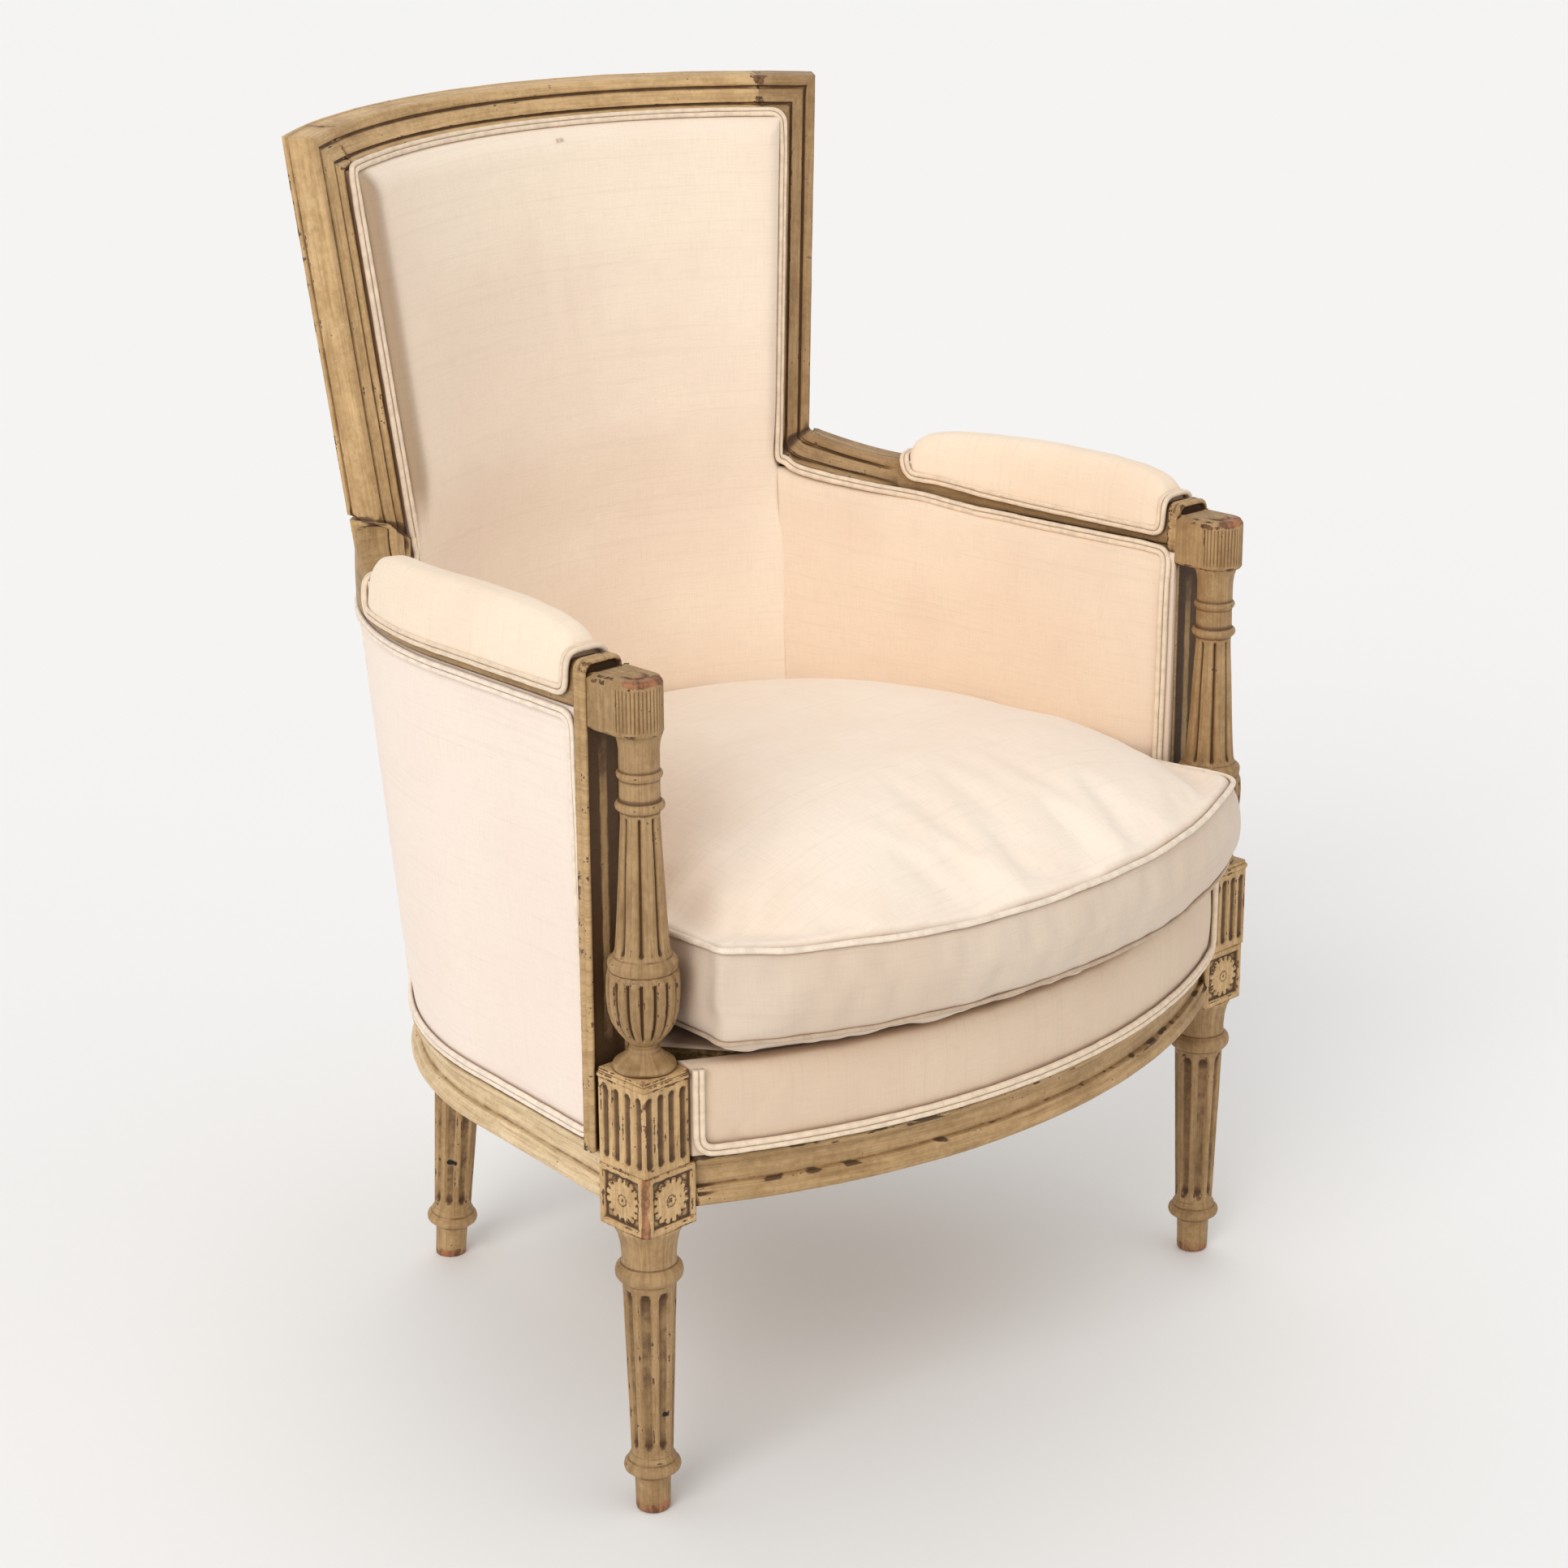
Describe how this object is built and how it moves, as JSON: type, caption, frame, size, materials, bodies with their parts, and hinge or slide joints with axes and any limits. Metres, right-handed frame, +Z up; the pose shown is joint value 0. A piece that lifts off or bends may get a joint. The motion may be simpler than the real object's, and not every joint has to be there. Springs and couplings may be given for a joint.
{
  "type": "painted bergere armchair",
  "caption": "Barrel-plan closed armchair with a carved painted frame, fluted turned legs, padded arms and back, and a loose piped seat cushion.",
  "frame": {"origin": "on the floor, under the middle of the chair's width and depth", "axes": "+Z up, -Y to the front, where the sitter's legs go, +X to the chair's right side in the picture"},
  "size_m": [0.6792, 0.6488, 0.9658],
  "materials": {
    "painted_wood": "satin",
    "plain_beech": "matte",
    "linen": "matte",
    "outside_linen": "matte",
    "cushion_linen": "matte",
    "filling": "matte",
    "jute_webbing": "matte",
    "hessian": "matte",
    "stuffing": "matte",
    "spring_steel": "satin",
    "fixing_steel": "satin"
  },
  "bodies": {
    "chair": {"front_leg_left": "painted_wood", "front_leg_right": "painted_wood", "rear_leg_left": "painted_wood", "rear_leg_right": "painted_wood", "front_rail": "painted_wood", "side_rail_left": "painted_wood", "side_rail_right": "painted_wood", "back_rail": "painted_wood", "corner_blocks": "plain_beech", "block_screws": "fixing_steel", "joint_dowels": "plain_beech", "stile_left": "painted_wood", "stile_right": "painted_wood", "crest_rail": "painted_wood", "lower_back_rail": "plain_beech", "arm_rail_left": "painted_wood", "arm_rail_right": "painted_wood", "arm_post_left": "painted_wood", "arm_post_right": "painted_wood", "baluster_left": "painted_wood", "baluster_right": "painted_wood", "arm_terminal_left": "painted_wood", "arm_terminal_right": "painted_wood", "seat_webbing": "jute_webbing", "webbing_tacks": "fixing_steel", "coil_springs": "spring_steel", "spring_hessian": "hessian", "seat_stuffing": "stuffing", "deck_cover": "linen", "front_border": "linen", "front_border_welt": "linen", "back_webbing": "jute_webbing", "inside_back_pad": "linen", "inside_arm_pad_left": "linen", "inside_arm_pad_right": "linen", "inside_welt": "linen", "outside_back_cover": "outside_linen", "outside_side_cover_left": "outside_linen", "outside_side_cover_right": "outside_linen", "outside_back_welt": "outside_linen", "outside_side_welts": "outside_linen", "arm_pad_left": "linen", "arm_pad_right": "linen", "arm_pad_welts": "linen"},
    "cushion": {"cushion_cover": "cushion_linen", "cushion_filling": "filling", "cushion_piping": "cushion_linen"}
  },
  "joints": [
    {"name": "cushion_lift", "type": "slide", "parent": "chair", "child": "cushion", "axis": [0, 0, 1], "range_m": [0, 0.62]}
  ]
}
